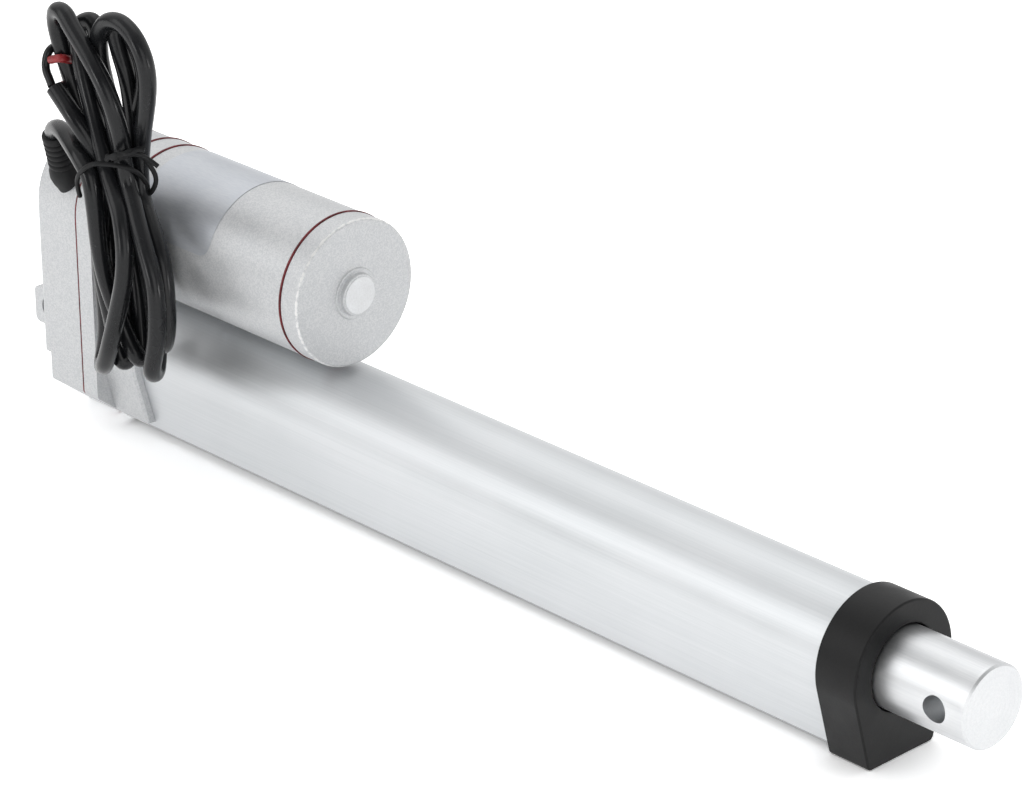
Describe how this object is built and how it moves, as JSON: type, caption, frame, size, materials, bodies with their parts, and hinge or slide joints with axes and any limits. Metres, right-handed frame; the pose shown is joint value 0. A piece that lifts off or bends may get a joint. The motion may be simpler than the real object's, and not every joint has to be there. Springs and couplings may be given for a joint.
{
  "type": "electric linear actuator",
  "caption": "Electric linear actuator: motor above a D-shaped tube, gearbox with a rear lug, and a round push rod that slides out of a black front cap.",
  "frame": {"origin": "centre of the cross hole in the rear lug, on the rod axis", "axes": "+X along the rod in the way it extends, +Y along the rear cross hole, +Z from the rod up to the motor"},
  "size_m": [0.3194, 0.0543, 0.1209],
  "materials": {
    "silver_casting": "silver metallic paint on zinc casting",
    "silver_motor": "silver metallic paint on steel",
    "red_gasket": "thin dark red fibre gasket",
    "anodised_tube": "satin clear anodised extrusion",
    "rod_aluminium": "satin drawn bar with a turned end",
    "black_plastic": "matt moulded nylon",
    "white_nylon": "moulded acetal",
    "steel": "bright steel",
    "bronze": "sintered bronze",
    "ferrite": "ferrite magnet",
    "copper": "enamelled copper",
    "carbon": "pressed carbon",
    "circuit_board": "green solder mask",
    "black_rubber": "soft black rubber",
    "cord_jacket": "satin black PVC jacket",
    "red_wire": "red PVC"
  },
  "bodies": {
    "body": {"rear_cover": "silver_casting", "front_housing": "silver_casting", "housing_gasket": "red_gasket", "housing_screws": "steel", "motor_bolts": "steel", "motor_ring": "silver_motor", "motor_gaskets": "red_gasket", "motor_can": "silver_motor", "motor_end_cap": "silver_motor", "motor_front_bush": "bronze", "motor_rear_bush": "bronze", "magnets": "ferrite", "brush_plate": "black_plastic", "brushes": "carbon", "idler_pin": "steel", "rear_bearing": "steel", "front_bearing": "steel", "bearing_retainer": "steel", "tube_seal": "black_rubber", "outer_tube": "anodised_tube", "front_guide": "white_nylon", "front_cap": "black_plastic", "rod_wiper": "black_rubber", "limit_board": "circuit_board", "rear_limit_switch": "black_plastic", "front_limit_switch": "black_plastic", "board_diodes": "black_plastic", "strain_relief": "black_rubber", "lead_cord": "cord_jacket", "cord_hank": "cord_jacket", "twist_tie": "cord_jacket", "black_lead": "cord_jacket", "red_lead": "red_wire"},
    "armature": {"armature_shaft": "steel", "armature_core": "steel", "windings": "copper", "commutator": "copper", "motor_pinion": "steel"},
    "idler": {"idler_gear": "white_nylon"},
    "screw": {"lead_screw": "steel", "screw_gear": "white_nylon"},
    "rod": {"rod": "rod_aluminium", "drive_nut": "bronze", "nut_pins": "steel"},
    "rear_plunger": {"rear_switch_plunger": "white_nylon"},
    "front_plunger": {"front_switch_plunger": "white_nylon"}
  },
  "joints": [
    {"name": "armature_spin", "type": "hinge", "parent": "body", "child": "armature", "pos_m": [0.02, 0, 0.0348], "axis": [-1, 0, 0], "range_deg": [0, 271846.15]},
    {"name": "idler_spin", "type": "hinge", "parent": "body", "child": "idler", "pos_m": [0.02, 0.00229, 0.01745], "axis": [-1, 0, 0], "range_deg": [-85846.15, 0]},
    {"name": "screw_spin", "type": "hinge", "parent": "body", "child": "screw", "pos_m": [0.02, 0, 0], "axis": [-1, 0, 0], "range_deg": [0, 36000]},
    {"name": "rod_slide", "type": "slide", "parent": "body", "child": "rod", "axis": [1, 0, 0], "range_m": [0, 0.2]},
    {"name": "rear_switch_press", "type": "slide", "parent": "body", "child": "rear_plunger", "axis": [0, 0, -1], "range_m": [0, 0.0004], "stiffness_N_per_m": 2000},
    {"name": "front_switch_press", "type": "slide", "parent": "body", "child": "front_plunger", "axis": [0, 0, -1], "range_m": [0, 0.0004], "stiffness_N_per_m": 2000}
  ],
  "couplings": [
    {"joint": "idler_spin", "follows": "armature_spin", "ratio": -0.31579},
    {"joint": "screw_spin", "follows": "armature_spin", "ratio": 0.13243},
    {"joint": "rod_slide", "follows": "armature_spin", "m_per_rad": 0.000042153}
  ]
}
